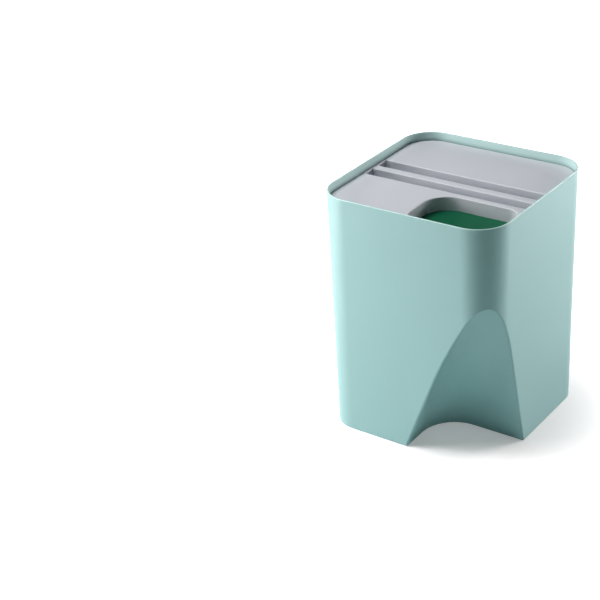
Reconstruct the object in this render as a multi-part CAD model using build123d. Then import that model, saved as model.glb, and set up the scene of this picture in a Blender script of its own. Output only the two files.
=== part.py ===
from build123d import *
import math
import os

# Stackable recycling bin: a tapered square tub with a scooped corner, a sunk lid with a grip bar
# and a drop hole, and a sprung sorting flap under the hole.
# Millimetres. The origin is the centre of the base on the floor, +Z up, and the front faces -Y.
# The scoop and the drop hole are in the corner of +X and -Y.

# Tub
rim_side = 300.0
base_side = 290.5
bin_height = 397.0
rim_corner = 51.0
base_corner = 42.0
wall = 2.5
rim_round = 0.9
rim_band = 1.2
floor_thick = 2.5
floor_raise = 7.0
under_rib_thick = 2.0
under_rib_pitch = 58.0

# Scoop: how far it reaches in from the side face and from the front face
scoop_height = 272.0
scoop_foot_from_side = 146.2
scoop_foot_from_front = 105.2
scoop_foot_corner = 58.0
scoop_top_from_side = 42.5
scoop_top_from_front = 37.5
scoop_top_corner = 90.0
scoop_edge_round = 3.0

# Foot pads
pad_radius = 8.0
pad_thick = 3.0
pad_proud = 1.0
pad_boss_wall = 2.5
pad_inset = 30.0
pad_tip_inset = 15.0
pad_gap = 0.1

# Lid
rim_drop = 14.0
lid_depth = 24.0
lid_wall = 2.2
lid_gap = 0.6
lid_edge_round = 1.5
groove_depth = 20.0
groove_end_wall = 3.6
front_groove_width = 22.0
grip_bar_width = 14.0
rear_groove_width = 23.5
grip_bar_from_front = 145.8
lid_rib_thick = 1.6
lid_rib_depth = 9.0
lid_rib_pitch = 60.0
# As shares of the front panel's width
front_rib_places = (0.33, 0.67)

# Drop hole in the lid
hole_width = 143.0
hole_length = 102.0
hole_from_side = 11.5
hole_from_front = 10.5
hole_rear_left_corner = 42.0
hole_rear_right_corner = 22.0
hole_front_left_corner = 30.0
hole_front_right_corner = 36.0
hole_skirt_wall = 2.0
hole_skirt_depth = 22.0

# Bag ring
ring_gap = 0.8
ring_flange = 6.6
ring_thick = 2.0
ring_collar_depth = 22.0
ring_collar_wall = 1.8
ring_notch_radius = 14.0
bracket_seat = 5.2
bracket_height = 40.0
bracket_thick = 3.0
bracket_spread = 140.0
wall_bite = 1.2

# Sorting flap and its hinge
flap_thick = 2.2
flap_overlap = 2.4
flap_gap = 0.3
flap_rib_thick = 1.5
flap_rib_depth = 4.0
# As shares of the drop hole's width, from its middle
flap_rib_places = (-0.25, 0, 0.25)
pin_radius = 1.5
pin_run_gap = 0.06
pin_press_gap = 0.02
pin_head_radius = 2.8
pin_head_thick = 1.4
hinge_length = 98.0
hinge_behind_hole = 5.6
hinge_drop = 3.5
knuckle_radius = 3.1
lug_thick = 3.0
lug_gap = 0.4
clip_radius = 3.0
clip_thick = 0.8
spring_wire = 1.0
spring_coils = 7
spring_radius = 2.3
spring_leg = 9.0

# Heights that follow from the sizes above
shell_foot = pad_proud
floor_top = floor_raise + floor_thick
lid_top = bin_height - rim_drop
lid_foot = lid_top - lid_depth
ring_top = lid_foot
ring_seat = ring_top - ring_thick
ring_foot = ring_seat - ring_collar_depth
skirt_foot = lid_top - hole_skirt_depth
flap_top = skirt_foot - flap_gap
pin_z = flap_top - hinge_drop

# How far the cutting shapes run past what they cut, and how near counts as touching
beyond = 20.0
run_out = 1.0
touch = 0.05


def side_at(z):
    return base_side + (rim_side - base_side) * z / bin_height


def corner_at(z):
    return base_corner + (rim_corner - base_corner) * z / bin_height


def tub_section(z, inset):
    side = side_at(z) - 2 * inset
    return Pos(0, 0, z) * RectangleRounded(side, side, corner_at(z) - inset)


# The tapered body of the tub, with an upright band at the rim
def tub_block(z_low, inset, above=0):
    band_foot = bin_height - rim_band
    body = loft([tub_section(z_low, inset), tub_section(band_foot, inset)], ruled=True)
    return body + extrude(tub_section(band_foot, inset), rim_band + above)


# An upright cylinder that stands on its own lower end
def post(radius, height):
    return Cylinder(radius, height, align=(Align.CENTER, Align.CENTER, Align.MIN))


def upright_block(z_low, z_high, side, corner):
    outline = RectangleRounded(side, side, corner)
    return Pos(0, 0, z_low) * extrude(outline, z_high - z_low)


# One level of the scoop: a round-nosed region that runs out past the near corner of the tub
def scoop_section(z, grow):
    share = z / scoop_height
    foot_x = base_side / 2 - scoop_foot_from_side
    foot_y = scoop_foot_from_front - base_side / 2
    top_x = side_at(scoop_height) / 2 - scoop_top_from_side
    top_y = scoop_top_from_front - side_at(scoop_height) / 2
    x = foot_x + (top_x - foot_x) * share - grow
    y = foot_y + (top_y - foot_y) * share + grow
    radius = scoop_foot_corner + (scoop_top_corner - scoop_foot_corner) * share + grow
    near = radius * (1 - math.sqrt(0.5))
    far = rim_side
    outline = [
        Line((x, -far), (x, y - radius)),
        ThreePointArc((x, y - radius), (x + near, y - near), (x + radius, y)),
        Line((x + radius, y), (far, y)),
        Line((far, y), (far, -far)),
        Line((far, -far), (x, -far)),
    ]
    return Pos(0, 0, z) * make_face(outline)


def scoop_cutter(grow):
    above = scoop_height + 2 * beyond
    return loft([scoop_section(-beyond, grow), scoop_section(above, grow)], ruled=True)


# The scoop's wall leans, so it is offset further sideways to keep the wall's thickness
def scoop_wall_offset():
    lean = (scoop_foot_from_side - scoop_top_from_side) / scoop_height
    return wall * math.sqrt(1 + lean * lean)


def pad_places():
    half = base_side / 2
    corner = half - pad_inset
    scoop_x = half - scoop_foot_from_side - pad_tip_inset
    scoop_y = scoop_foot_from_front - half + pad_tip_inset
    tip = half - pad_tip_inset
    return {
        "foot_pad_rear_left": (-corner, corner),
        "foot_pad_rear_right": (corner, corner),
        "foot_pad_front_left": (-corner, -corner),
        "foot_pad_front_tip": (scoop_x, -tip),
        "foot_pad_side_tip": (tip, scoop_y),
    }


def touches(point, faces):
    return min(point.distance_to(face) for face in faces) < touch


# The edges where the scoop breaks through the outer skin of the tub
def scoop_rim_edges(body):
    scoop_faces = scoop_cutter(0).faces()
    skin_faces = tub_block(shell_foot, 0).faces()
    edges = []
    for edge in body.edges():
        middle = Vertex(*(edge @ 0.5))
        above_foot = middle.Z > shell_foot + touch
        if above_foot and touches(middle, scoop_faces) and touches(middle, skin_faces):
            edges.append(edge)
    return edges


def under_ribs():
    ribs = Part()
    count = int(base_side / under_rib_pitch / 2)
    for step in range(-count, count + 1):
        place = step * under_rib_pitch
        bar = Box(base_side, under_rib_thick, floor_raise - shell_foot)
        ribs += Pos(0, place, (floor_raise + shell_foot) / 2) * bar
        ribs += Pos(place, 0, (floor_raise + shell_foot) / 2) * Rot(0, 0, 90) * bar
    for x, y in pad_places().values():
        boss = Cylinder(pad_radius + pad_boss_wall, floor_raise - shell_foot)
        ribs += Pos(x, y, (floor_raise + shell_foot) / 2) * boss
    return ribs


# A shelf bracket that grows out of the wall and ends in a seat for the bag ring
def bracket():
    back = wall_bite
    points = [(-back, 0), (bracket_seat, 0), (bracket_seat, -ring_thick), (-back, -bracket_height)]
    plate = extrude(make_face(Polyline(points, close=True)), bracket_thick / 2, both=True)
    return Rot(90, 0, 0) * plate


def brackets():
    shelf = bracket()
    group = Part()
    for turn in (0, 90, 180, 270):
        for side in (-1, 1):
            inner = side_at(ring_seat) / 2 - wall
            group += Rot(0, 0, turn) * Pos(-inner, side * bracket_spread / 2, ring_seat) * shelf
    return group


def make_shell():
    outer = tub_block(shell_foot, 0) - scoop_cutter(0)
    outer = fillet(scoop_rim_edges(outer), scoop_edge_round)
    grown = scoop_cutter(scoop_wall_offset())
    inner = tub_block(floor_top, wall, beyond) - grown
    under = loft([tub_section(shell_foot - beyond, wall), tub_section(floor_raise, wall)], ruled=True)
    shell = outer - inner - (under - grown - under_ribs())
    top = shell.faces().sort_by(Axis.Z)[-1]
    shell = fillet(top.edges(), rim_round)
    shell += brackets() & tub_block(floor_top, wall / 2)
    for x, y in pad_places().values():
        shell -= Pos(x, y, shell_foot) * post(pad_radius + pad_gap, pad_thick - pad_proud)
    return shell


def make_pad(place):
    x, y = place
    pad = post(pad_radius, pad_thick)
    pad = chamfer(pad.faces().sort_by(Axis.Z)[0].edges(), pad_proud / 2)
    return Pos(x, y, 0) * pad


def lid_half():
    return side_at(lid_foot) / 2 - wall - lid_gap


def lid_corner():
    return corner_at(lid_foot) - wall - lid_gap


def make_ring():
    half = side_at(ring_seat) / 2 - wall - ring_gap
    corner = corner_at(ring_seat) - wall - ring_gap
    inner = half - ring_flange
    inner_corner = corner - ring_flange
    skin = inner + ring_collar_wall
    ring = upright_block(ring_seat, ring_top, 2 * half, corner)
    ring += upright_block(ring_foot, ring_seat, 2 * skin, inner_corner + ring_collar_wall)
    ring -= upright_block(ring_foot - run_out, ring_top + run_out, 2 * inner, inner_corner)
    for turn in (0, 90):
        notch = Rot(0, 90, turn) * Cylinder(ring_notch_radius, rim_side)
        ring -= Pos(0, 0, ring_foot) * notch
    return ring


def hole_centre():
    x = lid_half() - hole_from_side - hole_width / 2
    y = -lid_half() + hole_from_front + hole_length / 2
    return x, y


# Outline of the drop hole, grown outwards by a margin
def hole_outline(grow):
    right = hole_width / 2 + grow
    back = hole_length / 2 + grow
    corners = {
        (-1, 1): hole_rear_left_corner,
        (1, 1): hole_rear_right_corner,
        (-1, -1): hole_front_left_corner,
        (1, -1): hole_front_right_corner,
    }
    outline = Rectangle(2 * right, 2 * back)
    for (side_x, side_y), radius in corners.items():
        corner = outline.vertices().sort_by_distance((side_x * 2 * right, side_y * 2 * back))[0]
        outline = fillet(corner, radius + grow)
    x, y = hole_centre()
    return Pos(x, y, 0) * outline


def hole_block(z_low, z_high, grow):
    return Pos(0, 0, z_low) * extrude(hole_outline(grow), z_high - z_low)


def groove_spans():
    bar_front = grip_bar_from_front - lid_half()
    bar_back = bar_front + grip_bar_width
    return [(bar_front - front_groove_width, bar_front), (bar_back, bar_back + rear_groove_width)]


def groove_block(span, z_low, z_high, grow, half_length):
    low, high = span
    width = high - low + 2 * grow
    return Pos(0, (low + high) / 2, (z_low + z_high) / 2) * Box(2 * half_length, width, z_high - z_low)


def pin_y():
    return hole_centre()[1] + hole_length / 2 + hinge_behind_hole


def lug_places():
    middle = hole_centre()[0]
    reach = (hinge_length - lug_thick) / 2
    return [middle - reach, middle, middle + reach]


def rod(radius, x_low, x_high):
    bar = Rot(0, 90, 0) * Cylinder(radius, x_high - x_low)
    return Pos((x_low + x_high) / 2, pin_y(), pin_z) * bar


def make_lid():
    half = lid_half()
    groove_floor = lid_top - groove_depth
    lid = upright_block(lid_foot, lid_top, 2 * half, lid_corner())
    lid -= hole_block(lid_foot - run_out, lid_top + run_out, 0)
    for span in groove_spans():
        lid -= groove_block(span, groove_floor, lid_top + run_out, 0, half - groove_end_wall)
    lips = lid.faces().sort_by(Axis.Z)[-1].edges()
    lid = fillet(lips, lid_edge_round)
    under_top = lid_top - lid_wall
    hollow = upright_block(lid_foot - run_out, under_top, 2 * (half - lid_wall), lid_corner() - lid_wall)
    for span in groove_spans():
        hollow -= groove_block(span, groove_floor - lid_wall, lid_top, lid_wall, half)
    hollow -= hole_block(skirt_foot, lid_top, hole_skirt_wall)
    hollow -= lid_ribs()
    lid -= hollow
    for place in lug_places():
        lid += hinge_lug(place)
    first, _, last = lug_places()
    return lid - rod(pin_radius + pin_press_gap, first - lug_thick, last + lug_thick)


# Stiffening ribs under the rear and front panels
def lid_ribs():
    ribs = Part()
    half = lid_half()
    z_middle = lid_top - lid_wall - lid_rib_depth / 2
    rear_start = groove_spans()[1][1]
    count = int(half / lid_rib_pitch)
    for step in range(-count, count + 1):
        bar = Box(lid_rib_thick, half - rear_start, lid_rib_depth)
        ribs += Pos(step * lid_rib_pitch, (half + rear_start) / 2, z_middle) * bar
    left = hole_centre()[0] - hole_width / 2
    front_end = groove_spans()[0][0]
    for place in front_rib_places:
        bar = Box(lid_rib_thick, half + front_end, lid_rib_depth)
        ribs += Pos(-half + (half + left) * place, (front_end - half) / 2, z_middle) * bar
    return ribs


def hinge_lug(x):
    front = pin_y() - hinge_behind_hole + hole_skirt_wall / 2
    back = groove_spans()[0][0] - lid_wall / 2
    height = lid_top - lid_wall / 2 - pin_z
    web = Pos(x, (front + back) / 2, pin_z + height / 2) * Box(lug_thick, back - front, height)
    trim_z = (pin_z + skirt_foot) / 2
    strip = Box(2 * lug_thick, knuckle_radius, skirt_foot - pin_z)
    for side in (-1, 1):
        web -= Pos(x, pin_y() + side * 1.5 * knuckle_radius, trim_z) * strip
    return web + rod(knuckle_radius, x - lug_thick / 2, x + lug_thick / 2)


def make_flap():
    plate_foot = flap_top - flap_thick
    rib_foot = plate_foot - flap_rib_depth
    plate = hole_block(plate_foot, flap_top, flap_overlap)
    rim = hole_block(rib_foot, plate_foot, flap_overlap)
    rim -= hole_block(rib_foot - run_out, flap_top, flap_overlap - flap_rib_thick)
    x, y = hole_centre()
    lugs = lug_places()
    root = Box(hinge_length, pin_y() - y, flap_thick)
    plate += Pos(x, (pin_y() + y) / 2, flap_top - flap_thick / 2) * root
    rib_z = (rib_foot + plate_foot) / 2
    bar = Box(flap_rib_thick, hole_length, flap_rib_depth)
    for place in flap_rib_places:
        rim += Pos(x + place * hole_width, y, rib_z) * bar
    rim += Pos(x, y, rib_z) * Box(hole_width, flap_rib_thick, flap_rib_depth)
    behind = pin_y() - knuckle_radius - 2 * lug_gap
    deep = Box(2 * hole_width, hole_length, 4 * flap_rib_depth)
    rim -= Pos(x, behind + hole_length / 2, rib_z) * deep
    flap = plate + rim
    for place in lugs:
        notch = Box(lug_thick + 2 * lug_gap, 2 * (pin_y() - behind) + lug_gap, 6 * flap_thick)
        flap -= Pos(place, pin_y(), flap_top) * notch
    inner = lug_thick / 2 + lug_gap
    knuckles = [(lugs[0] + inner, spring_start() - lug_gap), (lugs[1] + inner, lugs[2] - inner)]
    for low, high in knuckles:
        flap += rod(knuckle_radius, low, high)
    spring_room = rod(knuckle_radius + lug_gap, spring_start() - lug_gap, lugs[1])
    flap -= spring_room
    return flap - rod(pin_radius + pin_run_gap, lugs[0], lugs[2])


def spring_start():
    return lug_places()[1] - lug_thick / 2 - lug_gap - spring_coils * spring_wire


def make_pin():
    lugs = lug_places()
    left = lugs[0] - lug_thick / 2
    right = lugs[2] + lug_thick / 2 + clip_thick + spring_wire
    pin = rod(pin_radius, left, right)
    head = rod(pin_head_radius, left - pin_head_thick, left)
    head = chamfer(head.edges().sort_by(Axis.X)[0], pin_head_thick / 2)
    return pin + head


def make_clip():
    start = lug_places()[2] + lug_thick / 2
    bore = rod(pin_radius + pin_press_gap, start - run_out, start + clip_thick + run_out)
    return rod(clip_radius, start, start + clip_thick) - bore


# A close-wound torsion spring round the pin, drawn as one ring for each turn of its wire. Its leg
# stands up against the wall of the front groove.
def make_spring():
    start = spring_start()
    outer = spring_radius + spring_wire / 2
    groove = spring_wire / 4
    end = start + spring_coils * spring_wire
    coil = rod(outer - groove, start, end)
    crest = spring_wire / 2
    for turn in range(spring_coils):
        middle = start + (turn + 0.5) * spring_wire
        coil += rod(outer, middle - crest / 2, middle + crest / 2)
    coil -= rod(spring_radius - spring_wire / 2, start - run_out, end + run_out)
    leg_x = start + (spring_coils - 0.5) * spring_wire
    return coil + Pos(leg_x, pin_y() + spring_radius, pin_z) * post(spring_wire / 2, spring_leg)


def write_parts():
    os.makedirs("parts", exist_ok=True)
    parts = {
        "bin_shell": make_shell(),
        "bag_ring": make_ring(),
        "lid_panel": make_lid(),
        "sorting_flap": make_flap(),
        "flap_hinge_pin": make_pin(),
        "pin_retaining_clip": make_clip(),
        "flap_spring": make_spring(),
    }
    for name, place in pad_places().items():
        parts[name] = make_pad(place)
    for name, shape in parts.items():
        export_step(shape, "parts/" + name + ".step")


write_parts()
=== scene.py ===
import bpy
import math
from mathutils import Matrix, Vector


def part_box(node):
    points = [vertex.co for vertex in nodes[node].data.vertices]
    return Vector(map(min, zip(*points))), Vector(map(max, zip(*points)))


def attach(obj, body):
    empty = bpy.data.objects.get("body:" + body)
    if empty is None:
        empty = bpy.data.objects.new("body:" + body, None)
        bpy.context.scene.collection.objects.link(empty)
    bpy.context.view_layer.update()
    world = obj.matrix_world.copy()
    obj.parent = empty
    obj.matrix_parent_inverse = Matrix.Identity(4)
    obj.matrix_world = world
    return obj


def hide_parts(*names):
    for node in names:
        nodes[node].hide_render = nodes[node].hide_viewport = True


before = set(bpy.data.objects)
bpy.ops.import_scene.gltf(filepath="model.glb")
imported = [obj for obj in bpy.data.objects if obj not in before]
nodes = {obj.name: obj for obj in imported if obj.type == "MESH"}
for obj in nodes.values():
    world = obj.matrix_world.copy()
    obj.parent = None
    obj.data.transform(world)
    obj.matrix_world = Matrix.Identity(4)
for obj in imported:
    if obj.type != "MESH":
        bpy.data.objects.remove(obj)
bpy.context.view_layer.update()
print("frame loaded:", len(nodes), "pieces")


# Shader maths: a Wire is one output of a node, and sums on it add Math nodes
class Wire:
    def __init__(self, shader, socket):
        self.shader = shader
        self.socket = socket

    def maths(self, operation, first, second):
        return self.shader.node("ShaderNodeMath", {"operation": operation}, {0: first, 1: second})

    def __add__(self, other):
        return self.maths("ADD", self, other)

    def __radd__(self, other):
        return self.maths("ADD", other, self)

    def __sub__(self, other):
        return self.maths("SUBTRACT", self, other)

    def __rsub__(self, other):
        return self.maths("SUBTRACT", other, self)

    def __mul__(self, other):
        return self.maths("MULTIPLY", self, other)

    def __rmul__(self, other):
        return self.maths("MULTIPLY", other, self)

    def smooth(self, low, high):  # 0 below low, 1 above high, soft between
        values = {"Value": self, "From Min": low, "From Max": high}
        return self.shader.node("ShaderNodeMapRange", {"interpolation_type": "SMOOTHSTEP"}, values)

    def swing(self, amount):  # a pattern round 0.5 becomes a small one round 0
        return (self - 0.5) * amount


class Shader:
    def __init__(self, tree):
        self.tree = tree

    # Adds a node with its settings, then the values or links of its inputs, and gives one output
    def node(self, kind, settings=None, values=None, output=0):
        node = self.tree.nodes.new(kind)
        for key, value in (settings or {}).items():
            setattr(node, key, value)
        for key, value in (values or {}).items():
            self.plug(value, node.inputs[key])
        if node.outputs:
            return Wire(self, node.outputs[output])

    def plug(self, value, socket):
        if isinstance(value, Wire):
            self.tree.links.new(value.socket, socket)
        elif socket.type == "RGBA":
            socket.default_value = (*value, 1)
        else:
            socket.default_value = value

    def place(self, stretch=(1, 1, 1)):  # the piece's own coordinates, in metres
        here = self.node("ShaderNodeTexCoord", output="Object")
        if stretch == (1, 1, 1):
            return here
        return self.node("ShaderNodeMapping", None, {"Vector": here, "Scale": stretch})

    def facing(self):  # the way that the surface looks
        return self.node("ShaderNodeTexCoord", output="Normal")

    def upPart(self, vector):
        return self.node("ShaderNodeSeparateXYZ", None, {"Vector": vector}, output="Z")

    def noise(self, scale, detail, stretch=(1, 1, 1), roughness=0.5):
        values = {"Vector": self.place(stretch), "Scale": scale, "Detail": detail, "Roughness": roughness}
        return self.node("ShaderNodeTexNoise", None, values)

    def cells(self, scale):
        values = {"Vector": self.place(), "Scale": scale}
        return self.node("ShaderNodeTexVoronoi", {"feature": "F1"}, values)

    def mix(self, share, first, second):  # sockets 6, 7 and 2 are the Mix node's colours
        values = {0: share, 6: first, 7: second}
        return self.node("ShaderNodeMix", {"data_type": "RGBA"}, values, output=2)

    def bump(self, height, distance, strength):
        values = {"Height": height, "Distance": distance, "Strength": strength}
        return self.node("ShaderNodeBump", None, values)


def newMaterial(name, surface, look):  # surface is a function that gives the finished surface
    material = bpy.data.materials.new(name)
    material.use_nodes = True
    shader = Shader(material.node_tree)
    shader.tree.nodes.clear()
    shader.node("ShaderNodeOutputMaterial", None, {"Surface": surface(shader, look)})
    return material


def dress(node, material):
    mesh = nodes[node].data
    mesh.materials.clear()
    mesh.materials.append(material)


# Plastics of the bin. Lengths are in metres, and a stretch below 1 draws a pattern out along that axis.
shellLook = {
    "colour": (0.249, 0.392, 0.385), "cloudColour": (0.258, 0.402, 0.395),
    "clouds": {"scale": 9.0, "detail": 3.0, "stretch": (1, 1, 0.35)}, "cloudSpan": (0.3, 0.7),
    # painted shade: a darker colour in the lowest 3 cm, next to the floor
    "floorShadeColour": (0.235, 0.37, 0.365), "floorShadeHeight": 0.03, "floorShadeShare": 0.25,
    "roughness": 0.36, "smearShift": 0.10, "grainShift": 0.06,
    "smears": {"scale": 14.0, "detail": 5.0, "stretch": (1, 0.4, 1), "roughness": 0.65},
    "grain": {"scale": 1500.0, "detail": 2.0}, "pitScale": 900.0, "pitShare": 0.4,
    "grainDepth": 0.00006, "grainStrength": 0.35,
    "specular": 0.5, "depth": 0.04, "depthReach": 0.004,
}
lipHighlightLook = {  # painted highlight: the lip's inner face and its upward edge are painted paler, where they catch the light
    "colour": (0.50, 0.70, 0.68), "innerSpan": (0.380, 0.390), "edgeSpan": (0.390, 0.392),
    "inwardSpan": (0.02, 0.08), "upwardSpan": (0.1, 0.5),
}
lidLook = dict(
    shellLook, colour=(0.55, 0.578, 0.622), cloudColour=(0.57, 0.598, 0.642), roughness=0.42,
    floorShadeColour=(0.58, 0.6, 0.63), floorShadeShare=0.0,
)
flapLook = dict(
    shellLook, colour=(0.006, 0.105, 0.052), cloudColour=(0.007, 0.115, 0.056), roughness=0.38,
    floorShadeColour=(0.02, 0.1, 0.06), floorShadeShare=0.0, specular=0.1, depth=0.0,
)
ringLook = dict(lidLook, colour=(0.3, 0.31, 0.33), cloudColour=(0.31, 0.32, 0.34), roughness=0.5)


# Moulded polypropylene: faint flow clouds, painted shade that darkens the colour near the floor, handling
# smears and fine eroded grain
def mouldedPlastic(shader, look):
    height = shader.upPart(shader.place())
    clouds = shader.noise(**look["clouds"])
    tint = shader.mix(clouds.smooth(*look["cloudSpan"]), look["colour"], look["cloudColour"])
    # painted shade: the colour darkens towards the floor
    floorShade = (1 - height.smooth(0.0, look["floorShadeHeight"])) * look["floorShadeShare"]
    tint = shader.mix(floorShade, tint, look["floorShadeColour"])
    # painted highlight: the lip's inner face and upward edge take a paler colour
    if "lip" in look:
        tint = shader.mix(lipHighlightShare(shader, height, look["lip"]), tint, look["lip"]["colour"])
    smears = shader.noise(**look["smears"])
    grain = shader.noise(**look["grain"])
    surface = grain * (1 - look["pitShare"]) + shader.cells(look["pitScale"]) * look["pitShare"]
    roughness = look["roughness"] + smears.swing(look["smearShift"]) + grain.swing(look["grainShift"])
    return shader.node("ShaderNodeBsdfPrincipled", None, {
        "Base Color": tint, "Roughness": roughness, "Specular IOR Level": look["specular"],
        "Subsurface Weight": look["depth"], "Subsurface Scale": 1.0,
        "Subsurface Radius": [look["depthReach"]] * 3,
        "Normal": shader.bump(surface, look["grainDepth"], look["grainStrength"]),
    })


def lipHighlightShare(shader, height, look):  # painted highlight mask: 1 on the lip's inner face and on its upward edge
    turned = {0: shader.place(), 1: (-1, -1, 0)}
    toMiddle = shader.node("ShaderNodeVectorMath", {"operation": "MULTIPLY"}, turned)
    facings = {0: shader.facing(), 1: toMiddle}
    inward = shader.node("ShaderNodeVectorMath", {"operation": "DOT_PRODUCT"}, facings, output="Value")
    inner = inward.smooth(*look["inwardSpan"]) * height.smooth(*look["innerSpan"])
    edge = shader.upPart(shader.facing()).smooth(*look["upwardSpan"]) * height.smooth(*look["edgeSpan"])
    return inner.maths("MAXIMUM", inner, edge)


dress("bin_shell", newMaterial("shellPlastic", mouldedPlastic, dict(shellLook, lip=lipHighlightLook)))
dress("lid_panel", newMaterial("lidPlastic", mouldedPlastic, lidLook))
dress("sorting_flap", newMaterial("flapPlastic", mouldedPlastic, flapLook))
dress("bag_ring", newMaterial("ringPlastic", mouldedPlastic, ringLook))
print("plastics done")


# Foot pads of soft rubber, with dust in its pores
padLook = {
    "colour": (0.03, 0.032, 0.033), "dustColour": (0.09, 0.09, 0.085), "roughness": 0.8, "dustShift": 0.1,
    "dust": {"scale": 180.0, "detail": 6.0, "roughness": 0.7}, "dustSpan": (0.5, 0.8),
    "pores": {"scale": 900.0, "detail": 3.0}, "poreDepth": 0.0001, "poreStrength": 0.4,
}


def padRubber(shader, look):
    dust = shader.noise(**look["dust"])
    pores = shader.noise(**look["pores"])
    return shader.node("ShaderNodeBsdfPrincipled", None, {
        "Base Color": shader.mix(dust.smooth(*look["dustSpan"]), look["colour"], look["dustColour"]),
        "Roughness": look["roughness"] + dust * look["dustShift"],
        "Normal": shader.bump(pores, look["poreDepth"], look["poreStrength"]),
    })


rubber = newMaterial("padRubber", padRubber, padLook)
for node in nodes:
    if node.startswith("foot_pad"):
        dress(node, rubber)


# Steel of the hinge pin, its clip and the spring, with lines from the drawing die
steelLook = {
    "colour": (0.55, 0.55, 0.54), "dullColour": (0.40, 0.40, 0.40), "roughness": 0.32, "lineShift": 0.2,
    "dull": {"scale": 120.0, "detail": 4.0}, "dullSpan": (0.45, 0.75),
    "lines": {"scale": 2600.0, "detail": 3.0, "stretch": (0.02, 1, 1)},
    "lineDepth": 0.00002, "lineStrength": 0.5,
}


def drawnSteel(shader, look):
    lines = shader.noise(**look["lines"])
    dull = shader.noise(**look["dull"]).smooth(*look["dullSpan"])
    return shader.node("ShaderNodeBsdfPrincipled", None, {
        "Base Color": shader.mix(dull, look["colour"], look["dullColour"]), "Metallic": 1.0,
        "Roughness": look["roughness"] + lines.swing(look["lineShift"]),
        "Normal": shader.bump(lines, look["lineDepth"], look["lineStrength"]),
    })


steel = newMaterial("drawnSteel", drawnSteel, steelLook)
for node in ("flap_hinge_pin", "pin_retaining_clip", "flap_spring"):
    dress(node, steel)
print("rubber and steel done")


# The spring as wound wire: a coil with a leg against the lid, and an arm that pushes on the flap
springLook = {
    "wire": 0.0005, "sides": 14, "stepsPerTurn": 28, "wholeTurns": 5, "armAngle": math.radians(255.5),
    "armLength": 0.0105, "stubLength": 0.0001, "tipLength": 0.0003, "tipShrink": 0.6, "reach": 0.00055,
    "smoothAngle": math.radians(35),
}


def addRing(name, place, look):
    bpy.ops.object.select_all(action="DESELECT")
    bpy.ops.mesh.primitive_circle_add(vertices=look["sides"], radius=look["wire"], location=place)
    piece = bpy.context.object
    piece.name = name
    return piece


def pickRing(piece, centre, look):  # opens the mesh with the points round one end of the wire selected
    for point in piece.data.vertices:
        point.select = (point.co - centre).length < look["reach"]
    bpy.ops.object.mode_set(mode="EDIT")


def closeRing():  # fills the selected ring, turns all faces outwards and leaves the mesh
    bpy.ops.mesh.edge_face_add()
    bpy.ops.mesh.select_all(action="SELECT")
    bpy.ops.mesh.normals_make_consistent(inside=False)
    bpy.ops.mesh.select_all(action="DESELECT")
    bpy.ops.object.mode_set(mode="OBJECT")


def pullRing(piece, centre, move, look):  # draws one end of the wire out to a blunt tip
    pickRing(piece, centre, look)
    for step in (move, move.normalized() * look["tipLength"]):
        bpy.ops.mesh.extrude_region_move(TRANSFORM_OT_translate={"value": step})
    bpy.ops.transform.resize(value=[look["tipShrink"]] * 3)
    closeRing()


def settle():  # leaves the piece's place in its mesh
    bpy.ops.object.transform_apply(location=True, rotation=True, scale=True)


def ringAt(axis, x, angle, radius):  # where the wire's middle is, for an angle round the pin
    return Vector((x, axis.y + radius * math.cos(angle), axis.z + radius * math.sin(angle)))


def windCoil(axis, firstX, lastX, radius, look):
    coil = addRing("springCoil", (firstX, axis.y, axis.z), look)
    bpy.ops.object.mode_set(mode="EDIT")
    bpy.ops.transform.translate(value=(0, radius, 0))
    bpy.ops.object.mode_set(mode="OBJECT")
    coil.rotation_euler.x = look["armAngle"]
    bpy.ops.object.transform_apply(location=False, rotation=True, scale=False)
    turned = 2 * math.pi * (look["wholeTurns"] + 1) - look["armAngle"]
    winding = coil.modifiers.new("winding", "SCREW")
    winding.axis = "X"
    winding.angle = turned
    winding.screw_offset = lastX - firstX
    winding.steps = winding.render_steps = round(look["stepsPerTurn"] * turned / (2 * math.pi))
    winding.use_merge_vertices = False
    bpy.ops.object.modifier_apply(modifier=winding.name)
    settle()
    return coil


def buildSpring(look):
    low, high = [Vector(corner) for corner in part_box("flap_spring")]
    pinLow, pinHigh = [Vector(corner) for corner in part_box("flap_hinge_pin")]
    axis = (pinLow + pinHigh) / 2
    radius = axis.z - low.z - look["wire"]
    firstX = low.x + look["wire"]
    lastX = high.x - look["wire"]
    coil = windCoil(axis, firstX, lastX, radius, look)
    legLength = high.z - axis.z - look["tipLength"]
    pullRing(coil, ringAt(axis, lastX, 0, radius), Vector((0, 0, legLength)), look)
    armFoot = ringAt(axis, firstX, look["armAngle"], radius)
    along = Vector((0, math.sin(look["armAngle"]), -math.cos(look["armAngle"])))
    pullRing(coil, armFoot, along * look["stubLength"], look)
    arm = addRing("springArm", armFoot, look)
    arm.rotation_euler = along.to_track_quat("Z", "Y").to_euler()
    settle()
    pullRing(arm, armFoot, along * look["armLength"], look)
    pickRing(arm, armFoot, look)
    closeRing()
    for piece, body in ((coil, "lid"), (arm, "flap")):
        bpy.ops.object.select_all(action="DESELECT")
        piece.select_set(True)
        bpy.context.view_layer.objects.active = piece
        bpy.ops.object.shade_smooth_by_angle(angle=look["smoothAngle"])
        piece.data.materials.append(steel)
        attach(piece, body)
    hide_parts("flap_spring")


buildSpring(springLook)
print("spring done")


# Studio: a floor that keeps the shadow and reads white further out, and a white surround for the camera.
# What the camera sees of the floor differs from what the floor sends back onto the bin.
stageLook = {
    "floorSize": 14.0, "floorSeen": (0.88, 0.88, 0.88), "floorLift": 0.26, "fadeFrom": 0.13, "fadeTo": 0.37,
    "floorBounce": (0.70, 0.93, 0.94), "bounceGlow": 0.13, "ambient": 0.02, "glossShare": 0.15,
}
white = (1, 1, 1)


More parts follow.
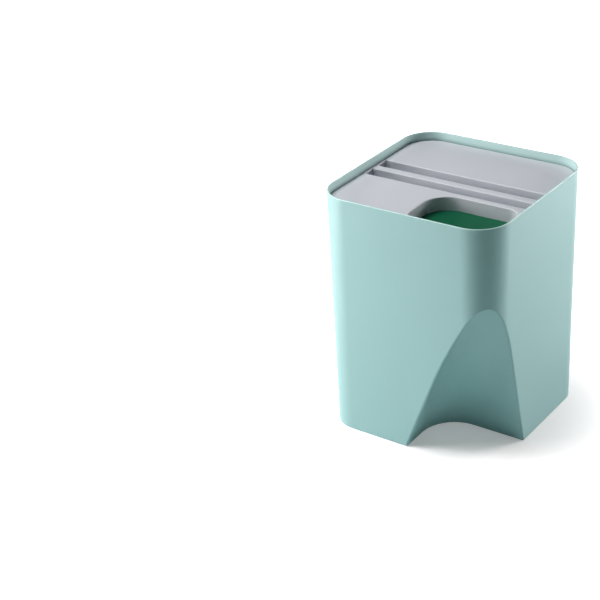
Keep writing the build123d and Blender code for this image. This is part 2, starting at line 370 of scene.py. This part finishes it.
def seenShare(shader, glossShare):  # 1 for what the camera sees, and part of that for gloss
    seen = shader.node("ShaderNodeLightPath", output="Is Camera Ray")
    gloss = shader.node("ShaderNodeLightPath", output="Is Glossy Ray")
    through = shader.node("ShaderNodeLightPath", output="Is Transmission Ray")
    return seen.maths("MINIMUM", seen + gloss * glossShare + through, 1.0)


def floorSurface(shader, look):
    seen = seenShare(shader, look["glossShare"])
    here = {"Vector": shader.place()}
    reach = shader.node("ShaderNodeVectorMath", {"operation": "LENGTH"}, here, output="Value")
    fade = reach.smooth(look["fadeFrom"], look["fadeTo"])
    tint = shader.mix(seen, look["floorBounce"], look["floorSeen"])
    diffuse = shader.node("ShaderNodeBsdfDiffuse", None, {"Color": tint})
    glowTint = shader.mix(seen, look["floorBounce"], white)
    glowPower = seen * (look["floorLift"] + fade) + (1 - seen) * look["bounceGlow"]
    glow = shader.node("ShaderNodeEmission", None, {"Color": glowTint, "Strength": glowPower})
    return shader.node("ShaderNodeAddShader", None, {0: diffuse, 1: glow})


def buildFloor(look):
    bpy.ops.object.select_all(action="DESELECT")
    bpy.ops.mesh.primitive_plane_add(size=look["floorSize"], location=(0, 0, 0))
    floor = bpy.context.object
    floor.name = "studioFloor"
    floor.data.materials.append(newMaterial("studioFloor", floorSurface, look))


def buildWorld(look):
    world = bpy.data.worlds.new("studioWorld")
    bpy.context.scene.world = world
    world.use_nodes = True
    shader = Shader(world.node_tree)
    seen = seenShare(shader, look["glossShare"])
    background = shader.tree.nodes["Background"]
    shader.plug(white, background.inputs["Color"])
    shader.plug(look["ambient"] + seen * (1 - look["ambient"]), background.inputs["Strength"])


buildFloor(stageLook)
buildWorld(stageLook)

# Soft boxes at the front left, at the rear right and above. The corner between the first two stays darker.
lamps = {
    "leftBox": {"spot": (-1.14, -0.84, 0.44), "size": (0.55, 0.8), "power": 25.5, "tint": (1.0, 0.94, 0.94)},
    "rightBox": {"spot": (1.14, 1.46, 0.46), "size": (0.8, 0.9), "power": 42.5, "tint": (1.0, 0.94, 0.94)},
    "topBox": {"spot": (-0.74, -0.36, 1.85), "size": (0.95, 0.95), "power": 28.0, "tint": white},
}
lampAim = Vector((0, 0, 0.2))


def buildLamp(name, lamp):
    light = bpy.data.lights.new(name, "AREA")
    light.shape = "RECTANGLE"
    light.size, light.size_y = lamp["size"]
    light.energy = lamp["power"]
    light.color = lamp["tint"]
    holder = bpy.data.objects.new(name, light)
    bpy.context.scene.collection.objects.link(holder)
    holder.location = lamp["spot"]
    aim = lampAim - Vector(lamp["spot"])
    holder.rotation_euler = aim.to_track_quat("-Z", "Y").to_euler()


for name, lamp in lamps.items():
    buildLamp(name, lamp)
print("studio done")

# Camera at the photograph's viewing angle: where it stands, which ways are right and up, and its lens
cameraFit = {
    "eye": (1.05449, -1.78909, 1.28641), "right": (0.81298, 0.57977, -0.05416),
    "up": (-0.23069, 0.40609, 0.88423), "lens": 90.18, "sensor": 36.0, "nearest": 0.05,
}


def buildCamera(fit):
    data = bpy.data.cameras.new("photoCamera")
    data.lens = fit["lens"]
    data.sensor_width = fit["sensor"]
    data.clip_start = fit["nearest"]
    camera = bpy.data.objects.new("photoCamera", data)
    bpy.context.scene.collection.objects.link(camera)
    right = Vector(fit["right"]).normalized()
    up = Vector(fit["up"])
    up = (up - right * up.dot(right)).normalized()
    back = right.cross(up)
    turn = Matrix((right, up, back)).transposed().to_4x4()
    camera.matrix_world = Matrix.Translation(fit["eye"]) @ turn
    bpy.context.scene.camera = camera


buildCamera(cameraFit)
bpy.context.scene.view_settings.view_transform = "Standard"
print("camera done")
